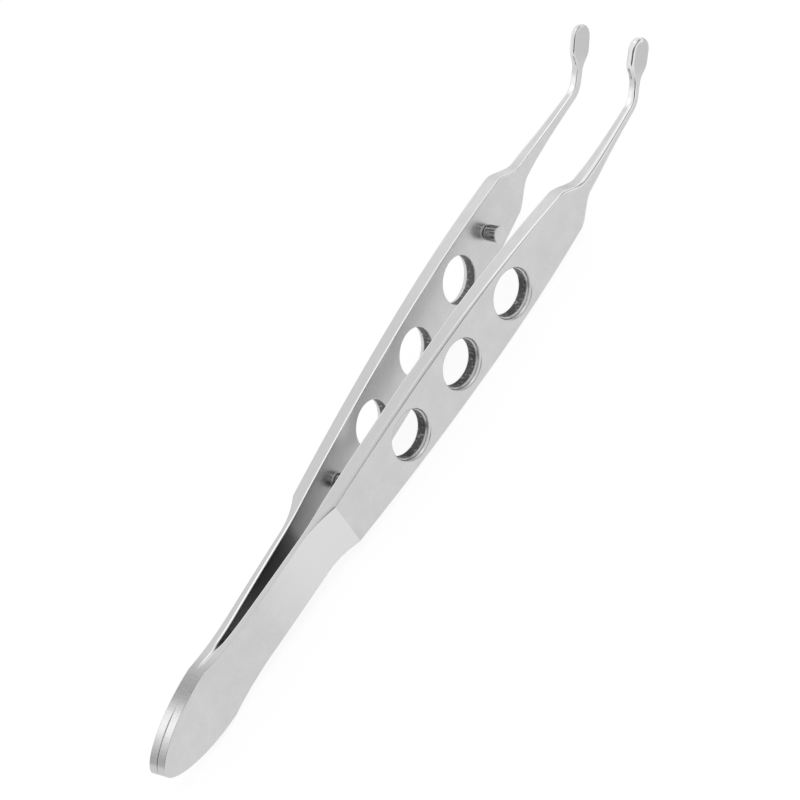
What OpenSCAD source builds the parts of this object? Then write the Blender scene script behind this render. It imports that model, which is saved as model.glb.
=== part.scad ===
// Meibomian gland expressor: a spring forceps of two mirrored steel strips welded at the butt.
// X runs from the butt to the pads, the arms open along Y, and the tips bend up along Z.
// The origin lies under the middle of the whole outline, on the surface that the forceps lies on.

/* [Butt] */
// Length over which the two tails are welded together
weld_len = 12; // [10:0.5:16]
// Width of the butt at the front of the weld
butt_w = 8.4; // [7:0.1:10]
// Fullness of the rounded butt end, where 2 is an ellipse
butt_fullness = 1.8; // [1.6:0.05:2.2]
// Depth of the fine seam that the weld leaves open at the butt end
seam_depth = 0.2; // [0.1:0.05:0.4]
// Width of that seam
seam_w = 0.12; // [0.05:0.01:0.2]
// Length of that seam from the butt end
seam_len = 6.5; // [3:0.5:9]

/* [Spring tail] */
// Length from the front of the weld to the crease of the rear shoulder
tail_len = 25.4; // [22:0.2:32]
// Width of the tail
tail_w = 6.6; // [5:0.1:8]
// Thickness of the tail at the weld
tail_t_rear = 1.2; // [0.9:0.05:1.4]
// Thickness of the tail where the rear shoulder begins
tail_t_front = 0.75; // [0.5:0.05:0.9]
// Length over which the butt narrows to the tail
waist_len = 8.5; // [5:0.5:10]
// Angle at which each arm leaves the middle plane
splay = 3.1; // [2.9:0.05:3.4]
// Outward bow of the tail between weld and handle
tail_bow = 0.12; // [0:0.02:0.3]

/* [Handle plate] */
// Length from the rear crease to the front shoulder
handle_len = 47; // [44:0.5:55]
// Width at the rear crease
handle_w_rear = 7.2; // [6.6:0.1:8.5]
// Greatest width
handle_w = 9; // [8.8:0.1:11]
// Width at the front shoulder
handle_w_front = 6.3; // [5:0.1:7.5]
// Distance from the rear crease to the greatest width
handle_belly = 24.6; // [20:0.2:28]
// Thickness of the handle plate
plate_t = 2; // [1.6:0.1:2.4]
// Length of the hollow rear shoulder that thins the plate to the tail
rear_shoulder = 5.2; // [4:0.2:7]
// Bevel on the outer edges of the plate
plate_bevel = 0.35; // [0.2:0.05:0.5]

/* [Grip holes] */
// Diameter of each hole
hole_d = 5.9; // [4.5:0.1:6.5]
// Distance from the rear pin to the middle of the rearmost hole
rear_hole_gap = 8.3; // [7:0.1:10]
// Distance from the front pin back to the middle of the foremost hole
front_hole_gap = 7.1; // [6:0.1:10]
// Number of holes in each arm, evenly spaced between those two
hole_count = 3; // [2:1:3]
// Bevel on the outer rim of each hole
hole_bevel = 0.4; // [0.2:0.05:0.6]

/* [Guide pins] */
// Diameter of each pin
pin_d = 2; // [1.2:0.1:2.2]
// Depth to which each pin is pressed into the far arm
pin_seat = 1; // [0.5:0.1:1.2]
// Distance from the front shoulder back to the front pin
front_pin_back = 5; // [3.5:0.1:6]
// Distance from the rear crease to the rear pin
rear_pin_in = 5.2; // [3:0.1:6]
// Gap that a pin leaves to the near arm when both arms are closed
pin_gap = 0.15; // [0.1:0.05:0.3]
// Bevel on the free end of each pin
pin_bevel = 0.12; // [0.05:0.01:0.2]

/* [Shaft] */
// Length of the curved front shoulder
front_shoulder = 4.4; // [3:0.2:6]
// Length of the straight shaft from the shoulder to the tip bend
shaft_len = 11; // [8:0.2:14]
// Width of the shaft at the front shoulder
shaft_w = 2.1; // [1.8:0.1:3]
// Width of the shaft at the tip bend
bend_w = 1.05; // [0.9:0.05:1.6]
// Thickness of the shaft at the tip bend
shaft_t = 1.05; // [0.9:0.05:1.5]
// Angle by which the shaft turns back towards the middle plane, past the splay
shaft_toe = 1; // [0:0.1:1.8]
// Length over which the arm turns from its splay to that angle
toe_len = 3; // [2:0.5:5]
// Edge rounding of the shaft and the back of the pad
shaft_round = 0.32; // [0.15:0.01:0.4]

/* [Pad] */
// Angle by which the tip bends up
tip_bend = 41; // [25:1:50]
// Bend radius on the middle line of the tip
tip_bend_r = 3; // [2.5:0.1:5]
// Width of the neck behind the pad
neck_w = 1.1; // [0.9:0.05:1.8]
// Straight length of the neck from the tip bend to the pad
neck_len = 1.2; // [0.5:0.1:2.5]
// Length of the pad
pad_len = 5.6; // [4.8:0.1:7]
// Width of the pad
pad_w = 3.1; // [2.4:0.05:4]
// Thickness of the pad
pad_t = 0.9; // [0.7:0.05:1.1]
// Length over which the neck widens to the pad
pad_flare = 2.5; // [1.5:0.1:2.8]
// Length of the rounded end of the pad
pad_nose = 1.75; // [1.2:0.05:2]
// Fullness of that end, where 2 is an ellipse
pad_fullness = 2.3; // [2:0.05:3]
// Edge rounding of the flat pad face
pad_round = 0.2; // [0.05:0.01:0.25]
// Gap that is left between the pads when both arms are closed
pad_gap = 0.3; // [0.2:0.05:0.5]

/* [Fits] */
// Distance from the weld to the place where the tail bends most
flex_at = 18; // [12:0.5:19]
// Gap between the fixed and the moving part of each tail
flex_gap = 0.1; // [0.08:0.01:0.15]
// Edge rounding of the tail and of the inner edges
fine_round = 0.08; // [0.04:0.01:0.12]

/* [Hidden] */
$fn = 64;

// Overlap of a cutter with open space, and the flat that closes the skin at the tip
eps = 0.01;
tip_flat = 0.003;

// Distance that takes a blank or a cutter right through
through = 2 * handle_w;

// Lengths of the facets where the outline runs straight and where it turns
straight_step = 1.8;
curve_step = 0.36;
turn_steps = 12;

// Greatest share of a thin section that one corner's rounding may take
corner_share = 0.45;

// Places along the middle line of an arm, measured from the butt end
waist_s = weld_len + waist_len;
flex_s = weld_len + flex_at;
crease_s = weld_len + tail_len;
cove_s = crease_s - rear_shoulder;
belly_s = crease_s + handle_belly;
front_s = crease_s + handle_len;
shaft_s = front_s + front_shoulder;
bend_s = shaft_s + shaft_len;
neck_s = bend_s + tip_bend_r * tip_bend * PI / 180;
pad_s = neck_s + neck_len;
flare_s = pad_s + pad_flare;
tip_s = pad_s + pad_len;
nose_s = tip_s - pad_nose;
front_pin_s = front_s - front_pin_back;
rear_pin_s = crease_s + rear_pin_in;
first_hole_s = rear_pin_s + rear_hole_gap;
last_hole_s = front_pin_s - front_hole_gap;
hole_pitch = (last_hole_s - first_hole_s) / (hole_count - 1);

// Plain laws from 0 to 1: a straight one, one that starts and ends level, two bent ones, and one
// that is a quarter ellipse, or fuller than that
function part_of(s, a, b) = min(1, max(0, (s - a) / (b - a)));
function mix(a, b, u) = a + (b - a) * u;
function eased(u) = u * u * (3 - 2 * u);
function hollow(u) = u * u;
function swift(u) = u * (2 - u);
function arched(u, fullness) = pow(1 - pow(u, fullness), 1 / fullness);

// Half of the outline's width at a place along the arm
function half_width(s) =
    s < weld_len ? butt_w / 2 * arched(1 - s / weld_len, butt_fullness)
    : s < waist_s ? mix(butt_w, tail_w, swift(part_of(s, weld_len, waist_s))) / 2
    : s < crease_s ? mix(tail_w, handle_w_rear, hollow(part_of(s, cove_s, crease_s))) / 2
    : s < belly_s ? mix(handle_w, handle_w_rear, pow((belly_s - s) / handle_belly, 2)) / 2
    : s < front_s ? mix(handle_w, handle_w_front, pow((s - belly_s) / (front_s - belly_s), 2)) / 2
    : s < shaft_s ? mix(handle_w_front, shaft_w, eased(part_of(s, front_s, shaft_s))) / 2
    : s < bend_s ? mix(shaft_w, bend_w, swift(part_of(s, shaft_s, bend_s))) / 2
    : s < pad_s ? mix(bend_w, neck_w, part_of(s, bend_s, pad_s)) / 2
    : s < nose_s ? mix(neck_w, pad_w, eased(part_of(s, pad_s, flare_s))) / 2
    : pad_w / 2 * arched(part_of(s, nose_s, tip_s), pad_fullness);

// Thickness of the strip, without the rounding of the tip
function strip_t(s) =
    s < cove_s ? mix(tail_t_rear, tail_t_front, part_of(s, weld_len, cove_s))
    : s < front_s ? mix(tail_t_front, plate_t, hollow(part_of(s, cove_s, crease_s)))
    : s < neck_s ? mix(plate_t, shaft_t, part_of(s, front_s, bend_s))
    : mix(shaft_t, pad_t, eased(part_of(s, neck_s, flare_s)));

// Thickness with the rounding of the tip, where the strip closes to a nose
function thickness(s) = s < nose_s ? strip_t(s) : min(strip_t(s), 2 * half_width(s));

// Rounding of the outer and of the inner edges
function outer_round(s) =
    s < cove_s ? fine_round
    : s < front_s ? mix(fine_round, plate_bevel, part_of(s, cove_s, crease_s))
    : mix(plate_bevel, shaft_round, part_of(s, front_s, shaft_s));
function inner_round(s) = mix(fine_round, pad_round, part_of(s, front_s, pad_s));
function fitted(r, s) = min(r, corner_share * thickness(s), corner_share * half_width(s));

// Middle line of the outline, seen from the side: straight, one bend up, straight
function bend_angle(s) = tip_bend * part_of(s, bend_s, neck_s);
function line_x(s) =
    min(s, bend_s) + tip_bend_r * sin(bend_angle(s)) + max(0, s - neck_s) * cos(tip_bend);
function line_z(s) = tip_bend_r * (1 - cos(bend_angle(s))) + max(0, s - neck_s) * sin(tip_bend);

// Inner face of an arm, seen from above: welded flat, splayed, toed in, then level pads
function splay_y(x) =
    x < weld_len ? 0
    : (x - weld_len) * tan(splay) + (x < crease_s ? tail_bow * sin(180 * (x - weld_len) / tail_len) : 0);
function toe_y(x) =
    let (run = max(0, x - shaft_s), turned = min(run, toe_len), turn = tan(splay) + tan(shaft_toe))
    splay_y(x) - turn * (turned * turned / (2 * toe_len) + run - turned);
flex_y = splay_y(flex_s) + strip_t(flex_s) / 2;
level_x = line_x(pad_s);
level_y = toe_y(level_x);
flex_reach = norm([level_x - flex_s, level_y - flex_y]);
close_deg = atan2(level_y - flex_y, level_x - flex_s) + asin((flex_y - pad_gap / 2) / flex_reach);
function inner_y(x) = x < level_x ? toe_y(x) : level_y + (x - level_x) * tan(close_deg);

// Distance from the middle plane of a point on the inner face once the arm is closed
function closed_y(x) =
    flex_y + (inner_y(x) - flex_y) * cos(close_deg) - (x - flex_s) * sin(close_deg);

// Cross-section of the strip: four rounded corners, three points each
CORNER = [0, 45, 90];
function corner(v, w, r, from) = [for (a = CORNER) [v + r * cos(from + a), w + r * sin(from + a)]];
function section(s) =
    let (
        t = thickness(s),
        w = half_width(s),
        lift = (strip_t(s) - t) / 2,
        ro = fitted(outer_round(s), s),
        ri = fitted(inner_round(s), s)
    )
    concat(
        corner(lift + t - ro, w - ro, ro, 0),
        corner(lift + ri, w - ri, ri, 90),
        corner(lift + ri, ri - w, ri, 180),
        corner(lift + t - ro, ro - w, ro, 270)
    );

// Points of the cross-section in space
function ring(s) =
    let (a = bend_angle(s), cx = line_x(s), cz = line_z(s))
    [for (q = section(s)) let (x = cx - q[1] * sin(a)) [x, inner_y(x) + q[0], cz + q[1] * cos(a)]];

// Places of the cross-sections, closer together where the outline turns
function steps(a, b, step) = let (n = ceil((b - a) / step)) [for (i = [0 : n - 1]) mix(a, b, i / n)];
arm_places = concat(
    steps(flex_s + flex_gap / 2, cove_s, straight_step),
    steps(cove_s, crease_s, curve_step),
    steps(crease_s, belly_s, straight_step),
    steps(belly_s, front_s, straight_step),
    steps(front_s, shaft_s, curve_step),
    steps(shaft_s, bend_s, straight_step),
    steps(bend_s, neck_s, curve_step),
    steps(neck_s, flare_s, curve_step),
    steps(flare_s, nose_s, straight_step),
    [for (i = [0 : turn_steps - 1]) nose_s + pad_nose * pow(sin(90 * i / turn_steps), 2 / pad_fullness)],
    [tip_s - tip_flat]
);
arm_rings = [for (s = arm_places) ring(s)];

// The whole outline, which sets the origin
reach_x = max([for (r = arm_rings) for (p = r) p[0]]);
floor_z = -handle_w / 2;
module placed() {
    translate([-reach_x / 2, 0, -floor_z]) children();
}

// A closed skin through rings of points, with quads split into triangles
module skin(rings) {
    n = len(rings[0]);
    last = (len(rings) - 1) * n;
    polyhedron(
        points = [for (r = rings) for (p = r) p],
        faces = concat(
            [[for (j = [n - 1 : -1 : 0]) j]],
            [for (i = [0 : len(rings) - 2]) for (j = [0 : n - 1]) for (half = [0, 1])
                let (a = i * n + j, b = i * n + (j + 1) % n)
                half == 0 ? [a, b, b + n] : [a, b + n, a + n]],
            [[for (j = [0 : n - 1]) last + j]]
        )
    );
}

// Something that stands square on the inner face of the far arm, pointing outwards
module on_inner_face(s) {
    translate([s, inner_y(s), 0]) rotate([0, 0, splay]) rotate([-90, 0, 0]) children();
}

// One grip hole with its bevelled outer rim
module grip_hole() {
    translate([0, 0, -plate_t]) cylinder(d = hole_d, h = 3 * plate_t);
    translate([0, 0, plate_t - hole_bevel])
        cylinder(r1 = hole_d / 2, r2 = hole_d / 2 + 2 * hole_bevel, h = 2 * hole_bevel);
}

// Front part of one arm, from the bending place of the tail to the pad
module arm_strip() {
    difference() {
        skin(arm_rings);
        for (i = [0 : hole_count - 1]) on_inner_face(first_hole_s + i * hole_pitch) grip_hole();
    }
}

// Outline of the welded butt and the rear tails, seen from the side
function butt_half(x, inset) = max(0, half_width(x) - inset);
module butt_side(inset) {
    far_end = flex_s - flex_gap / 2;
    places = concat(
        [for (i = [0 : turn_steps]) inset + (weld_len - inset) * (1 - cos(90 * i / turn_steps))],
        steps(weld_len, far_end, straight_step),
        [far_end]
    );
    rounded = [for (i = [0 : len(places) - 1]) if (i == 0 || places[i] > places[i - 1]) places[i]];
    upper = [for (x = rounded) [x, inset > x - eps ? 0 : butt_half(x, inset)]];
    polygon(concat(upper, [for (i = [len(upper) - 1 : -1 : 1]) [upper[i][0], -upper[i][1]]]));
}

// The same, seen from above: one bar that forks into two tails
module butt_fork() {
    far_end = flex_s - flex_gap / 2;
    places = concat(steps(weld_len, far_end, straight_step), [far_end]);
    inner = [for (x = places) [x, inner_y(x)]];
    outer = [for (x = places) [x, inner_y(x) + strip_t(x)]];
    last = len(places) - 1;
    polygon(concat(
        [[0, -tail_t_rear], [0, tail_t_rear]],
        outer,
        [for (i = [last : -1 : 0]) inner[i]],
        [for (i = [1 : last]) [inner[i][0], -inner[i][1]]],
        [for (i = [last : -1 : 0]) [outer[i][0], -outer[i][1]]]
    ));
}

// The two welded tails, with the fine seam at their end
module butt() {
    color([0.8, 0.8, 0.8]) placed() difference() {
        intersection() {
            translate([0, through / 2, 0]) rotate([90, 0, 0]) linear_extrude(through) butt_side(0);
            translate([0, 0, -through / 2]) linear_extrude(through) butt_fork();
        }
        translate([0, seam_w / 2, 0]) rotate([90, 0, 0]) linear_extrude(seam_w) difference() {
            translate([-1, -butt_w]) square([seam_len + 1, 2 * butt_w]);
            butt_side(seam_depth);
        }
    }
}

// The arm nearest the viewer
module near_arm() {
    color([0.82, 0.82, 0.82]) placed() mirror([0, 1, 0]) arm_strip();
}

// The other arm, with blind holes for the two pins
module far_arm() {
    color([0.78, 0.78, 0.78]) placed() difference() {
        arm_strip();
        for (s = [front_pin_s, rear_pin_s])
            on_inner_face(s) translate([0, 0, -eps]) cylinder(d = pin_d, h = pin_seat + eps);
    }
}

// One pin, as long as lets both arms close, with a bevelled free end
module guide_pin(s) {
    free_len = 2 * closed_y(s) - pin_gap;
    color([0.65, 0.65, 0.66]) placed() on_inner_face(s) {
        translate([0, 0, pin_bevel - free_len]) cylinder(d = pin_d, h = pin_seat + free_len - pin_bevel);
        translate([0, 0, -free_len]) cylinder(d1 = pin_d - 2 * pin_bevel, d2 = pin_d, h = pin_bevel);
    }
}

// Stop pin behind the front shoulder
module front_pin() {
    guide_pin(front_pin_s);
}

// Guide pin ahead of the rear crease
module rear_pin() {
    guide_pin(rear_pin_s);
}

butt();
near_arm();
far_arm();
front_pin();
rear_pin();
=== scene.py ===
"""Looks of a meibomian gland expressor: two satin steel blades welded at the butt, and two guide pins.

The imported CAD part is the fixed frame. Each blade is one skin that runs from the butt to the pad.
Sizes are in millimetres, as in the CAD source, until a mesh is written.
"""

import logging
import math
from dataclasses import dataclass, field
from enum import Enum

import bpy
import numpy as np
from mathutils import Matrix, Vector


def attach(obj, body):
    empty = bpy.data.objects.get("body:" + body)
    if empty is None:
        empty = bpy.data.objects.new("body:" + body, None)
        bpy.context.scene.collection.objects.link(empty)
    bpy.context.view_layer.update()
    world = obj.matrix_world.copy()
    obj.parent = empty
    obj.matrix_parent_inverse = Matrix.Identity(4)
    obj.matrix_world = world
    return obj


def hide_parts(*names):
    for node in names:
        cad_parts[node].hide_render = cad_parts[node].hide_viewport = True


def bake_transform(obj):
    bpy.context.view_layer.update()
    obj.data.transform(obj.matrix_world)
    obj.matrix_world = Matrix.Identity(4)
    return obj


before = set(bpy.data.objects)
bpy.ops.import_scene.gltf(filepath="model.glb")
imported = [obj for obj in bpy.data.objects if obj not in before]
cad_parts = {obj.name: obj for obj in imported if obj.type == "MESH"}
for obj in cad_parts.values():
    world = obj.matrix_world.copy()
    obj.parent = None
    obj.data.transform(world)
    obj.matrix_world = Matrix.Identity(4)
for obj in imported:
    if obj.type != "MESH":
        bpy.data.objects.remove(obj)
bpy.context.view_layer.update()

LOG = logging.getLogger("expressor")
MM = 0.001
Array = np.ndarray
Rgb = tuple[float, float, float]


class Side(Enum):
    """The two mirrored halves of the forceps: which way each opens along Y, and the body it ends on."""

    NEAR = ("near_arm", "near_side", -1.0)
    FAR = ("far_arm", "far_side", 1.0)

    def __init__(self, node: str, body: str, sign: float) -> None:
        """Keeps the CAD node, the CAD body and the sign of Y."""
        self.node = node
        self.body = body
        self.sign = sign


def part_of(s: Array, a: float, b: float) -> Array:
    """Share of the way from a to b, held between 0 and 1."""
    return np.clip((np.asarray(s, float) - a) / (b - a), 0.0, 1.0)


def mix(a: float | Array, b: float | Array, u: Array) -> Array:
    """Straight change from a to b as u goes from 0 to 1."""
    return a + (b - a) * u


def eased(u: Array) -> Array:
    """Change that starts and ends level: three u squared less two u cubed."""
    return u * u * (3 - 2 * u)


def arched(u: Array, fullness: float) -> Array:
    """A quarter ellipse, or a fuller curve: one less u to a power, all to the inverse of that power."""
    return (1 - u**fullness) ** (1 / fullness)


@dataclass
class StripForm:
    """Sizes of one steel strip and the laws of its outline, in millimetres from the butt end.

    The strip is described flat: s runs along it, w across it and v through it from the inner face.
    """

    weld_len: float = 12.0
    butt_w: float = 8.4
    butt_fullness: float = 1.8
    seam_len: float = 6.5
    seam_gap: float = 0.04
    tail_len: float = 25.4
    tail_w: float = 6.6
    tail_t_rear: float = 1.2
    tail_t_front: float = 0.75
    waist_len: float = 8.5
    splay: float = 3.1
    tail_bow: float = 0.12
    handle_len: float = 47.0
    handle_w_rear: float = 7.2
    handle_w: float = 9.0
    handle_w_front: float = 6.3
    handle_belly: float = 24.6
    plate_t: float = 2.0
    rear_shoulder: float = 5.2
    plate_bevel: float = 0.35
    front_bevel: float = 0.22
    inner_bevel: float = 0.24
    front_shoulder: float = 4.4
    shaft_len: float = 11.0
    shaft_w: float = 2.1
    bend_w: float = 1.05
    shaft_t: float = 1.05
    shaft_toe: float = 1.0
    toe_len: float = 3.0
    shaft_round: float = 0.42
    tip_bend: float = 41.0
    tip_bend_r: float = 3.0
    neck_w: float = 1.1
    neck_len: float = 1.2
    pad_len: float = 5.6
    pad_w: float = 3.1
    pad_t: float = 0.9
    pad_flare: float = 2.5
    pad_nose: float = 1.75
    pad_fullness: float = 2.3
    pad_round: float = 0.32
    pad_outer_round: float = 0.56
    pad_gap: float = 0.3
    flex_at: float = 18.0
    fine_round: float = 0.1
    fillet_len: float = 4.6
    fillet_taper: float = 1.6
    chamfer_fullness: float = 1.14
    belly_fullness: float = 1.3

    def __post_init__(self) -> None:
        """Works out the places along the strip, and the angle at which the pads meet."""
        self.waist_s = self.weld_len + self.waist_len
        self.flex_s = self.weld_len + self.flex_at
        self.crease_s = self.weld_len + self.tail_len
        self.cove_s = self.crease_s - self.rear_shoulder
        self.belly_s = self.crease_s + self.handle_belly
        self.front_s = self.crease_s + self.handle_len
        self.shaft_s = self.front_s + self.front_shoulder
        self.bend_s = self.shaft_s + self.shaft_len
        self.neck_s = self.bend_s + self.tip_bend_r * math.radians(self.tip_bend)
        self.pad_s = self.neck_s + self.neck_len
        self.flare_s = self.pad_s + self.pad_flare
        self.tip_s = self.pad_s + self.pad_len
        self.nose_s = self.tip_s - self.pad_nose
        self.flex_y = float(self.splay_y(self.flex_s) + self.strip_t(self.flex_s) / 2)
        self.level_x = float(self.line(self.pad_s)[0])
        self.level_y = float(self.toe_y(self.level_x))
        run, rise = self.level_x - self.flex_s, self.level_y - self.flex_y
        reach = math.hypot(run, rise)
        self.close = math.atan2(rise, run) + math.asin((self.flex_y - self.pad_gap / 2) / reach)

    def half_width(self, s: Array) -> Array:
        """Half of the outline's width: a full ellipse at the butt, two parabolas at the handle, an ellipse at the tip."""
        s = np.asarray(s, float)
        butt = self.butt_w / 2 * arched(1 - part_of(s, 0, self.weld_len), self.butt_fullness)
        waist = part_of(s, self.weld_len, self.waist_s)
        rear = part_of(s, self.cove_s, self.crease_s) ** 2
        behind = np.clip((self.belly_s - s) / self.handle_belly, 0, 1) ** 2
        ahead = part_of(s, self.belly_s, self.front_s) ** 2
        shaft = part_of(s, self.shaft_s, self.bend_s)
        nose = self.pad_w / 2 * arched(part_of(s, self.nose_s, self.tip_s), self.pad_fullness)
        laws = [
            (self.weld_len, butt),
            (self.waist_s, mix(self.butt_w, self.tail_w, waist * (2 - waist)) / 2),
            (self.crease_s, mix(self.tail_w, self.handle_w_rear, rear) / 2),
            (self.belly_s, mix(self.handle_w, self.handle_w_rear, behind) / 2),
            (self.front_s, mix(self.handle_w, self.handle_w_front, ahead) / 2),
            (self.shaft_s, mix(self.handle_w_front, self.shaft_w, eased(part_of(s, self.front_s, self.shaft_s))) / 2),
            (self.bend_s, mix(self.shaft_w, self.bend_w, shaft * (2 - shaft)) / 2),
            (self.pad_s, mix(self.bend_w, self.neck_w, part_of(s, self.bend_s, self.pad_s)) / 2),
            (self.nose_s, mix(self.neck_w, self.pad_w, eased(part_of(s, self.pad_s, self.flare_s))) / 2),
        ]
        return np.select([s < end for end, _ in laws], [w for _, w in laws], nose)

    def strip_t(self, s: Array) -> Array:
        """Thickness: a tapered tail, a hollow rise to the plate, a straight taper to the bend, an eased one to the pad."""
        s = np.asarray(s, float)
        laws = [
            (self.cove_s, mix(self.tail_t_rear, self.tail_t_front, part_of(s, self.weld_len, self.cove_s))),
            (self.front_s, mix(self.tail_t_front, self.plate_t, part_of(s, self.cove_s, self.crease_s) ** 2)),
            (self.neck_s, mix(self.plate_t, self.shaft_t, part_of(s, self.front_s, self.bend_s))),
        ]
        pad = mix(self.shaft_t, self.pad_t, eased(part_of(s, self.neck_s, self.flare_s)))
        return np.select([s < end for end, _ in laws], [t for _, t in laws], pad)

    def outer_round(self, s: Array) -> Array:
        """Width of the outer corners: fine on the tail, a bevel on the plate, finer ahead, and full at the pad."""
        plate = mix(self.fine_round / 2, self.plate_bevel, part_of(s, self.cove_s, self.crease_s))
        front = mix(plate, self.front_bevel, part_of(s, self.belly_s, self.front_s))
        shaft = mix(front, self.shaft_round, part_of(s, self.front_s, self.shaft_s))
        return mix(shaft, self.pad_outer_round, eased(part_of(s, self.neck_s, self.flare_s)))

    def outer_fullness(self, s: Array) -> Array:
        """Fullness of the outer corners: near 1, a flat chamfer, at the plate's rear, and 2, a round, at its front."""
        rear = mix(self.chamfer_fullness, self.belly_fullness, part_of(s, self.crease_s, self.belly_s))
        return mix(rear, 2.0, eased(part_of(s, self.belly_s, self.front_s)))

    def inner_round(self, s: Array) -> Array:
        """Rounding of the inner edges, all but closed where the weld is ground flush."""
        flush = eased(part_of(s, self.seam_len - 1, self.seam_len + 1)) * (1 - part_of(s, self.weld_len - 0.5, self.weld_len + 1.2))
        fine = mix(self.fine_round, self.inner_bevel, part_of(s, self.seam_len, self.weld_len))
        fine = mix(fine, self.inner_bevel * 0.6, part_of(s, self.cove_s, self.crease_s))
        return mix(mix(fine, self.fine_round / 8, flush), self.pad_round, part_of(s, self.front_s, self.pad_s))

    def low(self, s: Array) -> Array:
        """Depth at which the inner face lies: half a hair-wide slit at the seam, and down to the weld's fillet.

        The slit closes at the end of the seam. The fillet fills the fork just past the weld, then tapers out.
        """
        slit = self.seam_gap / 2 * (1 - eased(part_of(s, self.seam_len - 2, self.seam_len + 1))) * (s < self.weld_len)
        ends = self.weld_len + self.fillet_len
        return slit - self.splay_y(s) * (1 - eased(part_of(s, ends - self.fillet_taper, ends)))

    def line(self, s: Array) -> tuple[Array, Array, Array]:
        """Middle line seen from the side: straight, an arc up, straight.

        Args:
            s: Places along the strip.

        Returns:
            X, Z and the angle of the line at each place.
        """
        s = np.asarray(s, float)
        full = math.radians(self.tip_bend)
        a = full * part_of(s, self.bend_s, self.neck_s)
        past = np.maximum(0, s - self.neck_s)
        x = np.minimum(s, self.bend_s) + self.tip_bend_r * np.sin(a) + past * math.cos(full)
        z = self.tip_bend_r * (1 - np.cos(a)) + past * math.sin(full)
        return x, z, a

    def splay_y(self, x: Array) -> Array:
        """Inner face seen from above: flat at the weld, then straight at the splay with a slight bow in the tail."""
        x = np.asarray(x, float)
        run = np.maximum(0, x - self.weld_len)
        bow = np.where(x < self.crease_s, np.sin(np.pi * np.minimum(run / self.tail_len, 1)), 0)
        return run * math.tan(math.radians(self.splay)) + self.tail_bow * bow

    def toe_y(self, x: Array) -> Array:
        """The same, turned back past the front shoulder along a parabola and then a straight line."""
        run = np.maximum(0, np.asarray(x, float) - self.shaft_s)
        turned = np.minimum(run, self.toe_len)
        turn = math.tan(math.radians(self.splay)) + math.tan(math.radians(self.shaft_toe))
        return self.splay_y(x) - turn * (turned**2 / (2 * self.toe_len) + run - turned)

    def inner_y(self, x: Array) -> Array:
        """The same, with the pads at the angle that makes them meet flat."""
        x = np.asarray(x, float)
        level = self.level_y + (x - self.level_x) * math.tan(self.close)
        return np.where(x < self.level_x, self.toe_y(x), level)

    def closed_y(self, x: float) -> float:
        """Distance of the inner face from the middle plane once the arm is closed."""
        y = float(self.inner_y(x))
        return self.flex_y + (y - self.flex_y) * math.cos(self.close) - (x - self.flex_s) * math.sin(self.close)

    def place(self, s: Array, w: Array, v: Array) -> Array:
        """Points of the far blade in space: along the line, square to it by w, and out from the inner face by v.

        Args:
            s: Places along the strip.
            w: Distances across it.
            v: Distances out from the inner face.

        Returns:
            Points in millimetres with X from the butt end and Z from the middle line.
        """
        x, z, a = self.line(s)
        x = x - w * np.sin(a)
        return np.stack(np.broadcast_arrays(x, self.inner_y(x) + v, z + w * np.cos(a)), -1)

    def to_frame(self, points: Array, side: Side) -> Array:
        """Moves points of the far blade to the row frame in metres, mirrored for the near one."""
        tips = np.linspace(self.nose_s, self.tip_s, 400)
        reach = self.place(tips, -self.half_width(tips), 0.0)[:, 0].max()
        reach = max(reach, self.place(tips, self.half_width(tips), 0.0)[:, 0].max())
        moved = points * np.array([1.0, side.sign, 1.0]) + np.array([-reach / 2, 0.0, self.handle_w / 2])
        return moved * MM


@dataclass(frozen=True)
class Skin:
    """A closed mesh as arrays: points, quads and any numbers kept at its points."""

    points: Array
    quads: Array
    marks: dict[str, Array] = field(default_factory=dict)

    def joined(self, other: "Skin") -> "Skin":
        """This skin with another one added to its arrays."""
        quads = np.vstack([self.quads, other.quads + len(self.points)])
        marks = {name: np.concatenate([self.marks[name], other.marks[name]]) for name in self.marks}
        return Skin(np.vstack([self.points, other.points]), quads, marks)

    def welded(self, grain: float = 1e-6) -> tuple[Array, list[list[int]], dict[str, Array]]:
        """Merges points that lie together, and turns quads that lost a corner into triangles.

        Args:
            grain: Distance within which two points are the same one.

        Returns:
            The points left, the faces and the marks.
        """
        keys = np.round(self.points / grain).astype(np.int64)
        _, first, index = np.unique(keys, axis=0, return_index=True, return_inverse=True)
        quads = index.reshape(-1)[self.quads]
        same = quads == np.roll(quads, -1, axis=1)
        whole = quads[~same.any(1)]
        lost = same.sum(1) == 1
        corner = same[lost].argmax(1)
        order = (corner[:, None] + np.array([1, 2, 3])) % 4
        triangles = np.take_along_axis(quads[lost], order, 1)
        marks = {name: value[first] for name, value in self.marks.items()}
        return self.points[first], whole.tolist() + triangles.tolist(), marks

    def mesh(self, name: str) -> bpy.types.Object:
        """Writes the skin into a smooth Blender mesh with its faces outward.

        Args:
            name: Name of the piece.

        Returns:
            The object, at the origin.
        """
        points, faces, marks = self.welded()
        data = bpy.data.meshes.new(name)
        data.from_pydata(points.tolist(), [], faces)
        for mark, value in marks.items():
            kind = "FLOAT_VECTOR" if value.ndim > 1 else "FLOAT"
            store = data.attributes.new(mark, kind, "POINT")
            store.data.foreach_set("vector" if value.ndim > 1 else "value", value.astype(np.float32).ravel())
        data.shade_smooth()
        piece = bpy.data.objects.new(name, data)
        bpy.context.scene.collection.objects.link(piece)
        bpy.context.view_layer.objects.active = piece
        bpy.ops.object.mode_set(mode="EDIT")
        bpy.ops.mesh.select_all(action="SELECT")
        bpy.ops.mesh.normals_make_consistent(inside=False)
        bpy.ops.object.mode_set(mode="OBJECT")
        return piece


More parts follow.
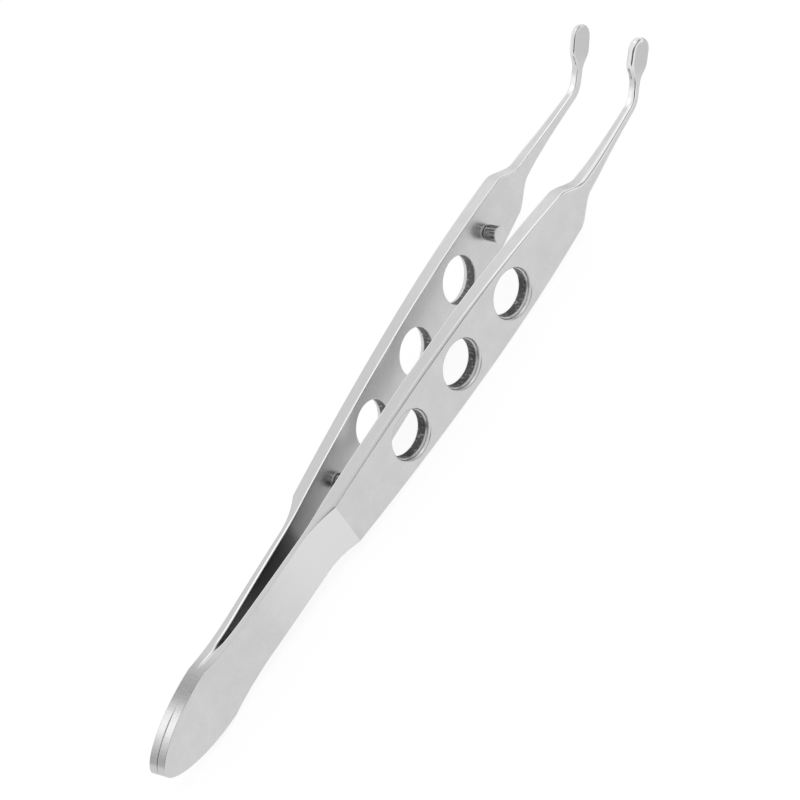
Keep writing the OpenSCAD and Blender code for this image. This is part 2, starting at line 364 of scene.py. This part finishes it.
def grid_quads(rows: int, columns: int, closed: bool) -> Array:
    """Quads of a grid of points, with its last column joined to its first where it is closed.

    Args:
        rows: Number of rows of points.
        columns: Number of points in each row.
        closed: Whether each row is a ring.

    Returns:
        Four indices for each quad, row by row.
    """
    i = np.arange(rows - 1)[:, None] * columns
    j = np.arange(columns if closed else columns - 1)[None, :]
    k = (j + 1) % columns
    return np.stack([i + j, i + k, i + columns + k, i + columns + j], -1).reshape(-1, 4)


@dataclass
class Blade:
    """One steel strip of the forceps, from the butt to the pad, with its three grip holes."""

    form: StripForm
    side: Side
    hole_d: float = 5.9
    hole_places: tuple[float, ...] = (50.9, 61.6, 72.3)
    rim_w: float = 0.4
    rim_depth: float = 1.0
    inner_rim: float = 0.08
    patch: float = 4.7
    across: int = 28
    arc: int = 8
    bend_reach: float = 6.0

    def stations(self) -> Array:
        """Places of the cross-sections: even within each stretch, closer at the ends, doubled at the two creases."""
        f = self.form
        turn = np.linspace(0, np.pi / 2, 60, endpoint=False)
        stretches = [
            f.weld_len * (1 - np.cos(turn) ** (2 / f.butt_fullness)),
            np.arange(f.weld_len, f.cove_s, 0.3),
            np.arange(f.cove_s, f.crease_s - 0.06, 0.12),
            np.array([f.crease_s - 0.05, f.crease_s, f.crease_s + 0.05]),
            np.arange(f.crease_s + 0.15, f.front_s, 0.24),
            np.arange(f.front_s, f.shaft_s, 0.1),
            np.arange(f.shaft_s, f.bend_s, 0.2),
            np.arange(f.bend_s, f.neck_s, 0.07),
            np.arange(f.neck_s, f.nose_s, 0.08),
            f.nose_s + f.pad_nose * np.sin(np.linspace(0, np.pi / 2, 40)) ** (2 / f.pad_fullness),
        ]
        return np.concatenate(stretches)

    def insets(self, s: Array) -> tuple[Array, Array]:
        """Outward normal of the outline in the flat strip, by central differences with the ends mirrored.

        Args:
            s: Places along the strip.

        Returns:
            Its parts along and across the strip.
        """
        w = self.form.half_width(s)
        w[0], w[-1] = 0.0, 0.0
        longer = np.concatenate([[s[1]], s, [s[-2]]])
        wider = np.concatenate([[-w[1]], w, [-w[-2]]])
        way = np.concatenate([[0], np.cumsum(np.hypot(np.diff(longer), np.diff(wider)))])
        ds, dw = np.gradient(longer, way)[1:-1], np.gradient(wider, way)[1:-1]
        length = np.hypot(ds, dw)
        return -dw / length, ds / length

    def skin(self) -> Skin:
        """The strip as rings: each ring goes over the outer face, down an edge, back over the inner face and up.

        At each corner of the ring the inset and the depth follow a quarter circle.
        """
        f, s = self.form, self.stations()
        w, t = f.half_width(s), f.strip_t(s)
        w[0], w[-1] = 0.0, 0.0
        along, out = self.insets(s)
        room = np.where((s > f.nose_s) | (s < f.weld_len), f.pad_w / 2, w)
        ro = np.minimum(f.outer_round(s), 0.62 * np.minimum(t, room))
        ri = np.minimum(f.inner_round(s), 0.36 * np.minimum(t, room))
        power = 2 / f.outer_fullness(s)[:, None]
        fine = np.array([-1, -0.985, -0.96])
        share = np.concatenate([fine, np.linspace(-0.9, 0.9, self.across - 6), -fine[::-1]])
        angle = np.linspace(0, np.pi / 2, self.arc + 1)
        wall = np.array([0.06, 0.35, 0.65, 0.94])
        low = f.low(s)[:, None]
        outer_q = ro[:, None] * (1 - np.sin(angle) ** power)
        outer_v = t[:, None] - ro[:, None] * (1 - np.cos(angle) ** power)
        wall_v = mix((t - ro)[:, None], low + ri[:, None], wall)
        inner_q = ri[:, None] * (1 - np.sin(angle[::-1]))
        inner_v = low + ri[:, None] * (1 - np.cos(angle[::-1]))
        edge_q = np.hstack([outer_q, np.zeros_like(wall_v), inner_q])
        edge_v = np.hstack([outer_v, wall_v, inner_v])

        def column(q: Array, v: Array, u: float | Array) -> tuple[Array, Array, Array]:
            """Points at inset q and depth v, at the share u of the way across."""
            across = (w[:, None] - q * out[:, None]) * u
            return np.broadcast_arrays(s[:, None] - q * along[:, None], across, v)

        parts = [
            column(ro[:, None], t[:, None], share[None, :]),
            column(edge_q[:, 1:-1], edge_v[:, 1:-1], 1.0),
            column(ri[:, None], low, -share[None, :]),
            column(edge_q[:, -2:0:-1], edge_v[:, -2:0:-1], -1.0),
        ]
        ps, pw, pv = (np.hstack([p[k] for p in parts]) for k in range(3))
        rings, columns = ps.shape
        edge = np.hstack([np.full((rings, p[0].shape[1]), float(k % 2)) for k, p in enumerate(parts)])
        polish = self.polish(s, [p[0].shape[1] for p in parts], len(wall))
        points = f.place(ps, pw, pv)
        strip = np.stack([ps, pw, pv], -1)
        quads = grid_quads(rings, columns, True).reshape(rings - 1, columns, 4)
        faces = {"outer": (0, self.across), "inner": (parts[0][0].shape[1] + parts[1][0].shape[1], self.across)}
        keep = np.ones((rings - 1, columns), bool)
        patches = []
        for place in self.hole_places:
            first, last = np.searchsorted(s, [place - self.patch, place + self.patch])
            for start, count in faces.values():
                keep[first:last, start : start + count - 1] = False
            outer, inner = (self.rim_of(points, first, last, *faces[name]) for name in ("outer", "inner"))
            patches.append(self.hole(place, outer, inner[self.matched(len(inner), last - first)]))
        marks = {"strip": strip.reshape(-1, 3), "edge": edge.reshape(-1), "polish": polish.reshape(-1)}
        marks["bore"] = np.zeros(edge.size)
        whole = Skin(points.reshape(-1, 3), quads[keep], marks)
        for patch in patches:
            whole = whole.joined(patch)
        return Skin(f.to_frame(whole.points, self.side) / MM, whole.quads, whole.marks)

    def polish(self, s: Array, counts: list[int], walls: int) -> Array:
        """How much each corner of the ring is buffed: made smoother, and painted brighter as a highlight. There is
        nothing on the faces and the flat of the edges.

        Outer corners go from dull at the belly to bright at the front shoulder; inner ones are bright past the weld.
        The lower corners are left satin at the pads.

        Args:
            s: Places of the rings.
            counts: Number of points in the outer face, an edge, the inner face and the other edge.
            walls: Number of points on the flat of an edge.

        Returns:
            A share for each point of each ring.
        """
        f = self.form
        flare = eased(part_of(s, f.neck_s, f.pad_s)) * eased(part_of(s, f.flare_s, f.flare_s - 1.4))
        outer = eased(part_of(s, f.belly_s, f.front_s)) * (1 - 0.9 * flare)
        inner = eased(part_of(s, f.weld_len - 0.5, f.weld_len + 1.5)) * mix(1.0, 0.5, part_of(s, f.bend_s, f.pad_s))
        down = np.repeat(np.stack([outer, 0 * outer, inner]), [self.arc, walls, self.arc], axis=0).T
        bare = [np.zeros((len(s), counts[k])) for k in (0, 2)]
        lower = down[:, ::-1] * (1 - part_of(s, f.bend_s, f.pad_s))[:, None]
        return np.hstack([bare[0], down, bare[1], lower])

    def rim_of(self, points: Array, first: int, last: int, start: int, count: int) -> Array:
        """Points round the rectangle of a face from which a hole's patch takes over.

        Args:
            points: Points of all rings.
            first: First ring of the rectangle.
            last: Last ring.
            start: First column of the face.
            count: Number of its columns.

        Returns:
            The rectangle's points in order, each once.
        """
        block = points[first : last + 1, start : start + count]
        return np.concatenate([block[0, :-1], block[:-1, -1], block[-1, :0:-1], block[:0:-1, 0]])

    def matched(self, total: int, rows: int) -> Array:
        """Order that makes the inner rectangle's points lie opposite the outer one's, since it runs the other way."""
        span = self.across - 1
        back = -np.arange(total)
        return (back + span) % total

    def hole(self, place: float, outer: Array, inner: Array) -> Skin:
        """A grip hole: flat rings from the rectangle in to the rim, a rounded rim, the wall, and the same inside.

        The rim's width and depth follow a quarter ellipse. Every ring keeps the bearings of the rectangle's points.

        Args:
            place: Place of the hole along the strip.
            outer: Rectangle round it on the outer face.
            inner: Rectangle round it on the inner face, in the same order.

        Returns:
            The patch, whose two outer rings lie on the rectangles.
        """
        f, splay = self.form, math.radians(self.form.splay)
        e1 = np.array([math.cos(splay), math.sin(splay), 0.0])
        e2 = np.array([0.0, 0.0, 1.0])
        normal = np.array([-math.sin(splay), math.cos(splay), 0.0])
        centre = np.array([place, float(f.inner_y(place)), 0.0])
        depth = f.plate_t * math.cos(splay)
        bearing = np.arctan2((outer - centre) @ e2, (outer - centre) @ e1)
        r = self.hole_d / 2
        turn = np.linspace(0, np.pi / 2, 9)
        rim = np.stack([r + self.rim_w * (1 - np.sin(turn)), depth - self.rim_depth * (1 - np.cos(turn))], 1)
        wall = np.stack([np.full(7, r), np.linspace(depth - self.rim_depth - 0.06, self.inner_rim + 0.05, 7)], 1)
        lip = np.stack([r + self.inner_rim * (1 - np.cos(turn[::2])), self.inner_rim * (1 - np.sin(turn[::2]))], 1)
        profile = np.vstack([rim, wall, lip])
        around = np.cos(bearing)[:, None] * e1 + np.sin(bearing)[:, None] * e2
        bore = centre + profile[:, 0, None, None] * around + profile[:, 1, None, None] * normal
        spread = np.array([1.0, 0.97, 0.85, 0.7, 0.5, 0.3, 0.12, 0.03])[:, None, None]
        rings = np.concatenate([mix(bore[0], outer, spread), bore, mix(bore[-1], inner, spread[::-1])])
        n_rows, n_columns = rings.shape[:2]
        mark = np.zeros((n_rows, n_columns))
        mark[len(spread) + len(rim) - 2 : len(spread) + len(rim) + len(wall)] = 1.0
        x, y, z = rings[..., 0], rings[..., 1], rings[..., 2]
        strip = np.stack([x, z, y - f.inner_y(x)], -1)
        bare = np.zeros(mark.size)
        marks = {"strip": strip.reshape(-1, 3), "edge": bare, "polish": bare, "bore": mark.reshape(-1)}
        return Skin(rings.reshape(-1, 3), grid_quads(n_rows, n_columns, True), marks)

    def build(self, material: bpy.types.Material) -> bpy.types.Object:
        """Makes the blade and dresses it.

        Args:
            material: Its finish.

        Returns:
            The piece.
        """
        skin = self.skin()
        piece = Skin(skin.points * MM, skin.quads, skin.marks).mesh(self.side.name.lower() + "_blade")
        piece.data.materials.append(material)
        f = self.form
        reach = (f.flex_s - self.bend_reach, f.flex_s + self.bend_reach)
        ends = f.to_frame(f.place(np.array(reach), np.zeros(2), np.zeros(2)), self.side)
        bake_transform(piece)
        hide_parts(self.side.node, "butt")
        return piece


@dataclass
class GuidePin:
    """A short steel pin pressed into the far blade, turned with a relief at its foot and a bevelled end."""

    form: StripForm
    node: str
    place: float
    pin_d: float = 2.0
    pin_gap: float = 0.15
    sunk: float = 0.3
    foot_d: float = 1.8
    foot_len: float = 0.14
    bead: float = 0.12
    bevel: float = 0.06
    crown: float = 0.02

    def profile(self) -> Array:
        """Radius and height of the pin's outline, from its foot in the blade to its crowned end."""
        free = 2 * self.form.closed_y(self.place) - self.pin_gap
        r, foot = self.pin_d / 2, self.foot_d / 2
        turn = np.linspace(0, np.pi / 2, 7)
        foot_part = np.array([[0.0, -self.sunk], [foot, -self.sunk], [foot, self.foot_len * 0.6]])
        bead = np.stack([foot + (r - foot) * np.sin(turn), self.foot_len + self.bead * (1 - np.cos(turn))], 1)
        body = np.stack([np.full(8, r), np.linspace(self.foot_len + self.bead + 0.02, free - self.bevel - 0.02, 8)], 1)
        end = np.stack([r - self.bevel * (1 - np.cos(turn)), free - self.bevel * (1 - np.sin(turn)) - self.crown], 1)
        face = np.stack([(r - self.bevel) * np.linspace(0.97, 0, 8), free - self.crown * np.linspace(0.97, 0, 8) ** 2], 1)
        return np.vstack([foot_part, bead, body, end, face])

    def build(self, material: bpy.types.Material) -> bpy.types.Object:
        """Turns the outline about the pin's axis, which stands square on the inner face.

        Args:
            material: Its finish.

        Returns:
            The piece.
        """
        profile, splay = self.profile(), math.radians(self.form.splay)
        turn = np.linspace(0, 2 * np.pi, 64, endpoint=False)
        e1 = np.array([math.cos(splay), math.sin(splay), 0.0])
        e2 = np.array([0.0, 0.0, 1.0])
        inward = np.array([math.sin(splay), -math.cos(splay), 0.0])
        centre = np.array([self.place, float(self.form.inner_y(self.place)), 0.0])
        around = np.cos(turn)[:, None] * e1 + np.sin(turn)[:, None] * e2
        points = centre + profile[:, 0, None, None] * around + profile[:, 1, None, None] * inward
        turned = np.stack(np.broadcast_arrays(np.cos(turn), np.sin(turn), profile[:, 1, None]), -1)
        row = np.ones((1, len(turn)))
        end = part_of(profile[:, 1], profile[:, 1].max() - self.bevel - self.crown - 0.01, profile[:, 1].max() - 0.04)
        foot = np.where(profile[:, 1] < self.foot_len, -1.0, part_of(profile[:, 1], self.foot_len, self.foot_len + 2 * self.bead))
        marks = {"turned": turned.reshape(-1, 3), "end": (end[:, None] * row).ravel(), "foot": (foot[:, None] * row).ravel()}
        whole = self.form.to_frame(points.reshape(-1, 3), Side.FAR)
        piece = Skin(whole, grid_quads(len(profile), len(turn), True), marks).mesh(self.node + "_turned")
        piece.data.materials.append(material)
        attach(piece, "far_side")
        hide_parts(self.node)
        return piece


class Wire:
    """One output of a material's nodes, on which sums and products add Math nodes."""

    def __init__(self, board: "Board", socket: bpy.types.NodeSocket) -> None:
        """Keeps the board it belongs to and its socket."""
        self.board = board
        self.socket = socket

    def math(self, operation: str, *others: "Wire | float", first: "float | None" = None) -> "Wire":
        """A Math node on this wire.

        Args:
            operation: Name of the operation.
            others: Values or wires that follow this one.
            first: A number that goes before this wire, as in 1 - mask.

        Returns:
            The node's value.
        """
        values = [self, *others] if first is None else [first, self]
        return self.board.add("ShaderNodeMath", {"operation": operation}, dict(enumerate(values)))

    def __add__(self, other: "Wire | float") -> "Wire":
        """This wire plus another value."""
        return self.math("ADD", other)

    __radd__ = __add__

    def __sub__(self, other: "Wire | float") -> "Wire":
        """This wire less another value."""
        return self.math("SUBTRACT", other)

    def __rsub__(self, other: float) -> "Wire":
        """A number less this wire."""
        return self.math("SUBTRACT", first=other)

    def __mul__(self, other: "Wire | float") -> "Wire":
        """This wire times another value."""
        return self.math("MULTIPLY", other)

    __rmul__ = __mul__

    def __truediv__(self, other: "Wire | float") -> "Wire":
        """This wire divided by another value."""
        return self.math("DIVIDE", other)

    def __rtruediv__(self, other: float) -> "Wire":
        """A number divided by this wire."""
        return self.math("DIVIDE", first=other)

    def clear(self, low: float, high: float) -> "Wire":
        """A soft step from 0 at low to 1 at high, or the other way where low is the greater."""
        settings = {"interpolation_type": "SMOOTHSTEP"}
        return self.board.add("ShaderNodeMapRange", settings, {"Value": self, "From Min": low, "From Max": high})


class Board:
    """The nodes of one material or world, with one way to add any of them."""

    def __init__(self, tree: bpy.types.NodeTree) -> None:
        """Empties the tree it works on."""
        self.tree = tree
        tree.nodes.clear()

    def add(
        self,
        kind: str,
        settings: dict[str, object] | None = None,
        inputs: "dict[str | int, object] | None" = None,
        output: str | int = 0,
    ) -> Wire:
        """Adds a node.

        Args:
            kind: Its type.
            settings: Its own properties, such as an operation, or the stops of a ramp.
            inputs: Values or wires for its sockets, by name or place.
            output: The socket that is wanted.

        Returns:
            The wire from that socket.
        """
        node = self.tree.nodes.new(kind)
        for name, value in (settings or {}).items():
            setattr(node, name, value)
        for name, value in (inputs or {}).items():
            socket = node.inputs[name]
            if isinstance(value, Wire):
                self.tree.links.new(value.socket, socket)
            else:
                socket.default_value = value
        return Wire(self, node.outputs[output])

    def colour(self, share: Wire | float, a: "Rgb | Wire", b: "Rgb | Wire") -> Wire:
        """A colour that goes from a to b as share goes from 0 to 1."""
        a, b = (c if isinstance(c, Wire) else (*c, 1.0) for c in (a, b))
        return self.add("ShaderNodeMix", {"data_type": "RGBA"}, {0: share, 6: a, 7: b}, 2)

    def stretched(self, point: Wire, times: tuple[float, float, float]) -> Wire:
        """A point with each of its parts multiplied by its own number."""
        return self.add("ShaderNodeVectorMath", {"operation": "MULTIPLY"}, {0: point, 1: times})

    def noise(self, point: Wire, detail: float = 2.0, rough: float = 0.5) -> Wire:
        """Even noise from 0 to 1 at a point."""
        return self.add("ShaderNodeTexNoise", {}, {"Vector": point, "Scale": 1.0, "Detail": detail, "Roughness": rough}, 0)

    def finish(self, shader: Wire, kind: str = "ShaderNodeOutputMaterial") -> None:
        """Joins a finished shader to the tree's output."""
        node = self.tree.nodes.new(kind)
        self.tree.links.new(shader.socket, node.inputs["Surface"])

    def mark(self, name: str, output: str = "Fac") -> Wire:
        """A number or a vector kept at the mesh's points."""
        return self.add("ShaderNodeAttribute", {"attribute_name": name}, {}, output)


@dataclass(frozen=True)
class SatinSteel:
    """Satin stainless steel: even fine grain, edges ground crosswise at the butt and lengthwise elsewhere.

    The edges are darkened towards the rear with painted shade, darkest beside the weld, and painted shade also lies on
    them at the heel. The corners are buffed smoother and painted brighter as a highlight, painted highlights lie on
    the bend and on the hollow in front of the plate, painted shade lies just past the crease, and the faces inside the
    fork and the holes are darkened with painted shade.
    """

    tone: Rgb = (0.655, 0.655, 0.653)
    shade: Rgb = (0.585, 0.585, 0.583)
    # painted shade: tone of the edges, darkened towards the rear
    ground: Rgb = (0.55, 0.55, 0.548)
    # painted shade: dark band on the butt's edges beside the weld, in place of a dark reflection
    weld: Rgb = (0.32, 0.32, 0.32)
    # painted shade: dark band on the edges at the heel of the butt, in place of a dark reflection
    heel: Rgb = (0.36, 0.36, 0.36)
    # painted highlight on the edges at the tip's bend
    bend: Rgb = (0.9, 0.9, 0.9)
    # painted highlight on the outer face of the hollow in front of the plate
    hollow: Rgb = (0.72, 0.72, 0.718)
    # painted shade on the outer face just past the crease, on its lower half
    crease: Rgb = (0.58, 0.58, 0.58)
    # painted shade on the inner faces inside the fork
    fork: Rgb = (0.45, 0.45, 0.45)
    # painted shade, darker still, deep in the fork
    deep: Rgb = (0.2, 0.2, 0.2)
    pad: Rgb = (0.53, 0.53, 0.53)
    # buffed corners: smoother for real, and painted brighter as a highlight
    buffed: Rgb = (0.78, 0.78, 0.78)
    # painted shade: the walls of the holes are dark, with random lighter specks
    bore: Rgb = (0.11, 0.11, 0.11)
    bore_speck: Rgb = (0.5, 0.5, 0.5)
    roughness: float = 0.3
    edge_roughness: float = 0.24
    buffed_roughness: float = 0.12
    bore_roughness: float = 0.5
    grain: float = 0.000004

    def material(self, form: StripForm) -> bpy.types.Material:
        """The finish of a blade, whose grain follows the flat strip's own coordinates in millimetres.

        Args:
            form: The strip's places, which say where the grinding changes.

        Returns:
            The material.
        """
        material = bpy.data.materials.new("satin_steel")
        material.use_nodes = True
        board = Board(material.node_tree)
        strip = board.mark("strip", "Vector")
        edge, polish, bore = board.mark("edge"), board.mark("polish"), board.mark("bore")
        along, across, through = (board.add("ShaderNodeSeparateXYZ", {}, {0: strip}, axis) for axis in "XYZ")
        cloud = board.noise(board.stretched(strip, (0.35, 0.35, 0.35)), 4.0, 0.6)
        speck = board.noise(board.stretched(strip, (4.0, 4.0, 4.0)), 3.0, 0.6)
        crosswise = board.noise(board.stretched(strip, (13.0, 0.4, 0.8)), 3.0, 0.6)
        lengthwise = board.noise(board.stretched(strip, (0.5, 6.0, 7.0)), 3.0, 0.6)
        at_butt = along.clear(form.weld_len + 4, form.weld_len)
        ground = crosswise * at_butt + lengthwise * (1 - at_butt)
        streak = ground * edge + speck * (1 - edge)
        steel = board.colour((cloud * 0.5 + streak * 0.5).clear(0.3, 0.7), self.shade, self.tone)
        face = 1 - edge
        outside, inside = face * through.clear(0.6, 0.7), face * through.clear(0.2, 0.1)
        # share of the edges that takes the painted shade and painted dark bands below, a little less along the grain's
        # streaks
        edge_shade_share = edge * (1 - ground.clear(0.35, 0.65) * 0.22)
        patches = [
            # painted shade: edges darkened towards the rear
            (edge_shade_share * along.clear(form.front_s - 4, form.belly_s - 4), self.ground),
            # painted shade: dark band on the edges beside the weld
            (edge_shade_share * along.clear(5.6, 9.2) * along.clear(15.0, 9.8), self.weld),
            # painted shade: dark band on the edges at the heel
            (edge_shade_share * along.clear(0.3, 0.7) * along.clear(2.8, 1.0), self.heel),
            # painted highlight on the edges at the bend
            (edge * along.clear(form.bend_s - 0.2, form.bend_s + 0.7) * along.clear(form.neck_s + 1.2, form.neck_s + 0.2), self.bend),
            # painted highlight on the hollow's outer face
            (outside * along.clear(form.waist_s, form.cove_s) * along.clear(form.crease_s + 0.1, form.crease_s), self.hollow),
            # painted shade just past the crease, on its lower half
            (outside * along.clear(form.crease_s, form.crease_s + 0.1) * along.clear(form.crease_s + 1.6, form.crease_s) * across.clear(0.5, -2.5), self.crease),
            # painted shade inside the fork
            (inside * along.clear(form.crease_s + 8, form.cove_s - 2), self.fork),
            # darker painted shade deep in the fork
            (inside * along.clear(form.weld_len + 8, form.flex_s - 2) * along.clear(form.cove_s + 2.2, form.cove_s + 0.4), self.deep),
            ((1 - edge * across.clear(-0.1, 0.1)) * along.clear(form.pad_s, form.flare_s) * 0.85, self.pad),
            # buffed corners, brighter as a painted highlight
            (polish, self.buffed),
        ]
        for share, tone in patches:
            steel = board.colour(share, steel, tone)
        pitted = board.noise(board.stretched(strip, (3.0, 3.0, 1.5)), 4.0, 0.7)
        # painted shade on the walls of the holes, with random lighter specks
        drilled = board.colour(pitted.clear(0.5, 0.75), self.bore, self.bore_speck)
        tone = board.colour(bore, steel, drilled)
        rough = self.roughness + (self.edge_roughness - self.roughness) * edge + (speck - 0.5) * 0.08
        rough = rough * (1 - polish) + self.buffed_roughness * polish
        rough = rough * (1 - bore) + self.bore_roughness * bore
        height = streak * (1 - polish) + pitted * bore * 3.0
        bump = board.add("ShaderNodeBump", {}, {"Strength": 1.0, "Distance": self.grain, "Height": height}, "Normal")
        inputs = {"Base Color": tone, "Metallic": 1.0, "Roughness": rough, "Normal": bump}
        shader = board.add("ShaderNodeBsdfPrincipled", {}, inputs)
        board.finish(shader)
        return material


@dataclass(frozen=True)
class PinSteel:
    """Turned steel of the pins: a bead at the foot painted bright as a highlight, painted shade in the relief under
    it, a dark drawn side and an end faced like the blades.
    """

    side: Rgb = (0.6, 0.6, 0.6)
    side_shade: Rgb = (0.12, 0.12, 0.12)
    # painted highlight on the bead at the pin's foot
    bead: Rgb = (0.95, 0.95, 0.95)
    # painted shade in the relief at the pin's foot
    groove: Rgb = (0.05, 0.05, 0.05)
    end: Rgb = (0.66, 0.66, 0.658)
    roughness: float = 0.25
    end_roughness: float = 0.32
    grain: float = 0.000004

    def material(self) -> bpy.types.Material:
        """The finish of a pin, from its own bearings, the height over its foot and the depth under its end.

        Returns:
            The material.
        """
        material = bpy.data.materials.new("pin_steel")
        material.use_nodes = True
        board = Board(material.node_tree)
        turned, end, foot = board.mark("turned", "Vector"), board.mark("end"), board.mark("foot")
        drawn = board.noise(board.stretched(turned, (5.0, 5.0, 0.5)), 3.0, 0.65)
        rings = board.noise(board.stretched(turned, (0.2, 0.2, 14.0)), 2.0, 0.5)
        side = board.colour((drawn * 0.8 + rings * 0.2).clear(0.42, 0.66), self.side_shade, self.side)
        # painted highlight on the bead at the foot
        side = board.colour(foot.clear(0.75, 0.25), side, self.bead)
        # painted shade in the relief at the foot
        side = board.colour(foot.clear(-0.25, -0.75), side, self.groove)
        tone = board.colour(end, side, self.end)
        rough = self.roughness + (rings - 0.5) * 0.1
        rough = rough * (1 - end) + self.end_roughness * end
        height = rings * (1 - end)
        bump = board.add("ShaderNodeBump", {}, {"Strength": 1.0, "Distance": self.grain, "Height": height}, "Normal")
        inputs = {"Base Color": tone, "Metallic": 1.0, "Roughness": rough, "Normal": bump}
        shader = board.add("ShaderNodeBsdfPrincipled", {}, inputs)
        board.finish(shader)
        return material


@dataclass
class Studio:
    """Pale floor, white surroundings, soft lamps and the camera of the photograph."""

    floor_reach: float = 3.0
    sky: float = 0.62
    floor_tone: Rgb = (0.8, 0.8, 0.8)
    shadow_share: float = 0.25
    front_glow: float = 0.38
    side_glow: float = 0.15
    wall_turns: Array = field(default_factory=lambda: np.array([228.0, 265.0, 345.0]))
    wall_reach: float = 1.6
    wall_rise: Array = field(default_factory=lambda: np.array([[0.0, 0.0], [0.95, 0.8]]))
    focal_px: float = 10904.99
    frame_px: float = 800.0
    sensor_mm: float = 36.0
    eye: Rgb = (-0.45552, -0.82107, 0.85952)
    right: Rgb = (0.51267374, -0.73929777, -0.43658268)
    down: Rgb = (-0.77972613, -0.18802832, -0.59722066)
    ahead: Rgb = (0.359434, 0.64659428, -0.67284697)

    def seen(self, board: Board) -> Wire:
        """1 for rays that show the background: from the camera, or off or through a surface."""
        rays = [board.add("ShaderNodeLightPath", {}, {}, f"Is {kind} Ray") for kind in ("Camera", "Glossy", "Transmission")]
        return (rays[0] + rays[1] + rays[2]).math("MINIMUM", 1.0)

    def lay_floor(self) -> None:
        """A round pale floor whose seen colour is white, less the shadow that falls on it."""
        turn = np.linspace(0, 2 * np.pi, 96, endpoint=False)
        rim = np.stack([np.cos(turn), np.sin(turn), np.zeros(96)], 1) * self.floor_reach
        data = bpy.data.meshes.new("floor")
        data.from_pydata(rim.tolist(), [], [list(range(96))])
        floor = bpy.data.objects.new("floor", data)
        bpy.context.scene.collection.objects.link(floor)
        material = bpy.data.materials.new("pale_floor")
        material.use_nodes = True
        board = Board(material.node_tree)
        plain = board.add("ShaderNodeBsdfDiffuse", {}, {"Color": (*self.floor_tone, 1.0)})
        share = self.shadow_share
        soft = board.add("ShaderNodeBsdfDiffuse", {}, {"Color": (share, share, share, 1.0)})
        lit = board.add("ShaderNodeEmission", {}, {"Color": (1.0, 1.0, 1.0, 1.0), "Strength": 1.0 - share * 0.6})
        white = board.add("ShaderNodeAddShader", {}, {0: soft, 1: lit})
        shader = board.add("ShaderNodeMixShader", {}, {0: self.seen(board), 1: plain, 2: white})
        board.finish(shader)
        data.materials.append(material)

    def light(self) -> None:
        """White surroundings for what is seen, a softer sky for what they light, and two soft lamps."""
        world = bpy.data.worlds.new("studio")
        world.use_nodes = True
        bpy.context.scene.world = world
        board = Board(world.node_tree)
        strength = self.seen(board) * (1.0 - self.sky) + self.sky
        back = board.add("ShaderNodeBackground", {}, {"Color": (1.0, 1.0, 1.0, 1.0), "Strength": strength})
        board.finish(back, "ShaderNodeOutputWorld")
        self.lamp("back_box", (0.5, 0.85, 0.9), 0.9, 0.06)
        self.lamp("butt_strip", (-0.133, 0.585, 0.684), 0.22, 0.9)
        self.lamp("top_box", (0.32, -0.2, 0.82), 0.34, 0.7)

    def hang_flags(self) -> None:
        """Dark studio flags that only reflections show: two low walls, one at the side and one in front."""
        turn = np.radians(np.linspace(0, 1, 49) * (self.wall_turns[1:, None] - self.wall_turns[:-1, None]) + self.wall_turns[:-1, None])
        ring = np.stack([np.cos(turn), np.sin(turn), 0 * turn], -1) * self.wall_reach
        rise = np.array([0.0, 0.0, 1.0]) * self.wall_rise[:, :, None, None]
        walls = np.concatenate([ring + rise[0], ring + rise[1]], axis=1)
        flags = [
            ("side_wall", walls[0], grid_quads(2, 49, False), self.side_glow),
            ("front_wall", walls[1], grid_quads(2, 49, False), self.front_glow),
        ]
        for name, points, quads, glow in flags:
            cloth = bpy.data.materials.new(name + "_cloth")
            cloth.use_nodes = True
            board = Board(cloth.node_tree)
            board.finish(board.add("ShaderNodeEmission", {}, {"Color": (1.0, 1.0, 1.0, 1.0), "Strength": glow}))
            data = bpy.data.meshes.new(name)
            data.from_pydata(points.tolist(), [], quads.tolist())
            data.materials.append(cloth)
            flag = bpy.data.objects.new(name, data)
            flag.visible_camera = flag.visible_shadow = flag.visible_diffuse = False
            bpy.context.scene.collection.objects.link(flag)

    def lamp(self, name: str, place: Rgb, size: float, glow: float) -> None:
        """A square soft lamp that faces the object.

        Args:
            name: Its name.
            place: Where it hangs, in metres.
            size: Its side in metres.
            glow: How bright its face is, where 1 is white.
        """
        data = bpy.data.lights.new(name, "AREA")
        data.size = size
        data.energy = glow * math.pi * size**2
        lamp = bpy.data.objects.new(name, data)
        lamp.location = place
        lamp.rotation_euler = (-Vector(place)).to_track_quat("-Z", "Y").to_euler()
        bpy.context.scene.collection.objects.link(lamp)

    def aim_camera(self) -> None:
        """The camera worked out from the photograph: its place, its three directions and its focal length."""
        data = bpy.data.cameras.new("camera")
        data.sensor_width = self.sensor_mm
        data.lens = self.focal_px * self.sensor_mm / self.frame_px
        data.clip_start, data.clip_end = 0.05, 20.0
        camera = bpy.data.objects.new("camera", data)
        axes = Matrix((self.right, self.down, self.ahead)).transposed()
        turned = Matrix([[row[0], -row[1], -row[2]] for row in axes]).to_4x4()
        camera.matrix_world = Matrix.Translation(self.eye) @ turned
        bpy.context.scene.collection.objects.link(camera)
        bpy.context.scene.camera = camera

    def build(self) -> None:
        """Lays the floor, hangs the lamps and sets the camera."""
        self.lay_floor()
        self.light()
        self.hang_flags()
        self.aim_camera()
        bpy.context.scene.view_settings.view_transform = "Standard"


def main() -> None:
    """Builds the blades and the pins on the CAD frame, then the studio."""
    logging.basicConfig(level=logging.INFO, format="%(message)s")
    form = StripForm()
    steel = SatinSteel().material(form)
    for side in Side:
        piece = Blade(form, side).build(steel)
        LOG.info("%s: %d points", piece.name, len(piece.data.vertices))
    pin_steel = PinSteel().material()
    for node, place in (("front_pin", 79.4), ("rear_pin", 42.6)):
        piece = GuidePin(form, node, place).build(pin_steel)
        LOG.info("%s: %d points", piece.name, len(piece.data.vertices))
    Studio().build()


if __name__ == "__main__":
    main()
